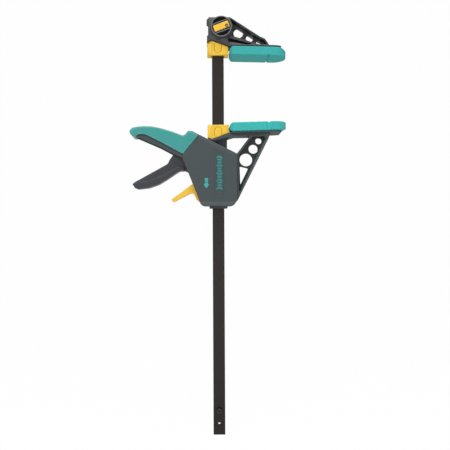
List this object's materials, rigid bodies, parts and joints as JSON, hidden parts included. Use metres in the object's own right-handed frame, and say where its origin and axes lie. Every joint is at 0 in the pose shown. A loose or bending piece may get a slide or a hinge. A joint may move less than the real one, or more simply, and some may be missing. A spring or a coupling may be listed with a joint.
{
  "type": "one-handed bar clamp",
  "caption": "One-handed trigger bar clamp: flat bar, removable fixed jaw, sliding jaw with squeeze handle, trigger and release lever, T-rail pads and collars.",
  "frame": {"origin": "centre of the bar's flat lower end face", "axes": "+Z along the bar from its lower end to the fixed jaw, +X from the bar toward the tips of both jaws, +Y from the knob's side of the clamp to its back"},
  "size_m": [0.2665, 0.038, 0.7136],
  "materials": {
    "black_steel": "satin black oxide on rolled flat bar",
    "head_plastic": "fine moulded texture, glass-filled nylon",
    "housing_plastic": "fine moulded texture, glass-filled nylon",
    "lever_plastic": "satin moulded plastic",
    "teal_soft_plastic": "matt soft elastomer",
    "yellow_plastic": "satin moulded plastic",
    "bright_steel": "plain zinc-plated steel",
    "spring_steel": "bright spring wire"
  },
  "bodies": {
    "bar_and_head": {"bar": "black_steel", "bar_stop_pin": "black_steel", "fixed_jaw": "head_plastic", "fixed_pad": "teal_soft_plastic", "fixed_collar": "yellow_plastic"},
    "knob": {"lock_knob": "head_plastic", "knob_insert": "yellow_plastic", "knob_rivet": "bright_steel"},
    "lock_pin": {"lock_pin": "bright_steel"},
    "carriage": {"jaw_body": "housing_plastic", "front_cover": "housing_plastic", "grip_cover": "teal_soft_plastic", "moving_pad": "teal_soft_plastic", "moving_collar": "yellow_plastic", "lower_bar_guide": "head_plastic", "trigger_pin": "bright_steel", "release_pin": "bright_steel", "drive_spring": "spring_steel", "brake_spring": "spring_steel", "housing_screw_1": "bright_steel", "housing_screw_2": "bright_steel", "housing_screw_3": "bright_steel", "housing_screw_4": "bright_steel", "housing_screw_5": "bright_steel"},
    "trigger": {"trigger": "lever_plastic"},
    "drive_plates": {"drive_plate_upper": "bright_steel", "drive_plate_lower": "bright_steel"},
    "release_lever": {"release_lever": "yellow_plastic"},
    "brake_plate": {"brake_plate": "bright_steel"}
  },
  "joints": [
    {"name": "knob_turn", "type": "hinge", "parent": "bar_and_head", "child": "knob", "pos_m": [0.0054, 0, 0.693], "axis": [0, 1, 0], "range_deg": [-90, 0]},
    {"name": "pin_draw", "type": "slide", "parent": "bar_and_head", "child": "lock_pin", "axis": [0, -1, 0], "range_m": [0, 0.0056]},
    {"name": "carriage_slide", "type": "slide", "parent": "bar_and_head", "child": "carriage", "axis": [0, 0, 1], "range_m": [-0.34, 0.1085]},
    {"name": "trigger_pull", "type": "hinge", "parent": "carriage", "child": "trigger", "pos_m": [-0.03596, 0, 0.4751], "axis": [0, 1, 0], "range_deg": [0, 34], "stiffness_Nm_per_rad": 0.8, "springref_deg": -20.05},
    {"name": "drive_stroke", "type": "slide", "parent": "carriage", "child": "drive_plates", "axis": [0, 0, 1], "range_m": [-0.00994, 0], "deforming": ["drive_spring"]},
    {"name": "release_pull", "type": "hinge", "parent": "carriage", "child": "release_lever", "pos_m": [-0.031, 0, 0.41609], "axis": [0, 1, 0], "range_deg": [0, 16.28], "stiffness_Nm_per_rad": 0.3, "springref_deg": -17.19},
    {"name": "brake_tilt", "type": "hinge", "parent": "carriage", "child": "brake_plate", "pos_m": [0.025, 0, 0.4097], "axis": [0, 1, 0], "range_deg": [-4, 0], "deforming": ["brake_spring"]}
  ],
  "couplings": [
    {"joint": "pin_draw", "follows": "knob_turn", "m_per_rad": -0.003565},
    {"joint": "drive_stroke", "follows": "trigger_pull", "m_per_rad": -0.01675},
    {"joint": "brake_tilt", "follows": "release_pull", "ratio": -0.2456}
  ]
}
